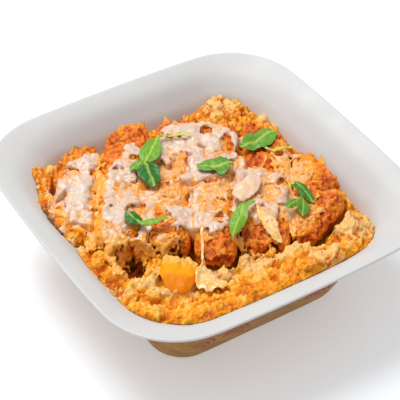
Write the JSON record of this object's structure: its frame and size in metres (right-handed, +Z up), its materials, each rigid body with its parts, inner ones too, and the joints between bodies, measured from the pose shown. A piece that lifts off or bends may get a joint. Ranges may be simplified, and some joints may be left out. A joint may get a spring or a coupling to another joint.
{
  "type": "katsudon in a takeaway tray",
  "caption": "Square white takeaway tray with rounded corners and a flat rim, filled with egg and sliced breaded cutlet under half-set egg, with leaf sprigs on top.",
  "frame": {"origin": "centre of the tray's base, on the surface it stands on", "axes": "+Z up; the tray's four sides face +X, -X, +Y and -Y; the cuts between the cutlet's slices run from the -X -Y side towards the +X +Y corner"},
  "size_m": [0.1668, 0.1668, 0.0539],
  "materials": {
    "white_foam": "smooth matte white foam, printed as wood grain outside",
    "curdled_egg": "moist curdled egg",
    "soft_yolk": "wet yolk",
    "egg_white": "wet egg white",
    "soft_onion": "wet translucent onion",
    "fried_crust": "fried breadcrumb crust, moist with sauce",
    "half_set_egg": "milky half-set egg",
    "leaf": "fresh green leaf"
  },
  "bodies": {
    "root": {"tray": "white_foam", "egg_bed": "curdled_egg", "cutlet_slice_1": "fried_crust", "cutlet_slice_2": "fried_crust", "cutlet_slice_3": "fried_crust", "cutlet_slice_4": "fried_crust", "cutlet_slice_5": "fried_crust", "cutlet_slice_6": "fried_crust", "egg_film_1": "half_set_egg", "egg_film_2": "half_set_egg", "egg_film_3": "half_set_egg", "egg_film_4": "half_set_egg", "egg_film_5": "half_set_egg", "yolk": "soft_yolk", "egg_white_drip": "egg_white", "egg_white_strip": "egg_white", "onion_slice": "soft_onion", "leaf_sprig_1": "leaf", "leaf_sprig_2": "leaf", "leaf_sprig_3": "leaf", "leaf_sprig_4": "leaf", "leaf_sprig_5": "leaf", "leaf_sprig_6": "leaf"}
  },
  "joints": []
}
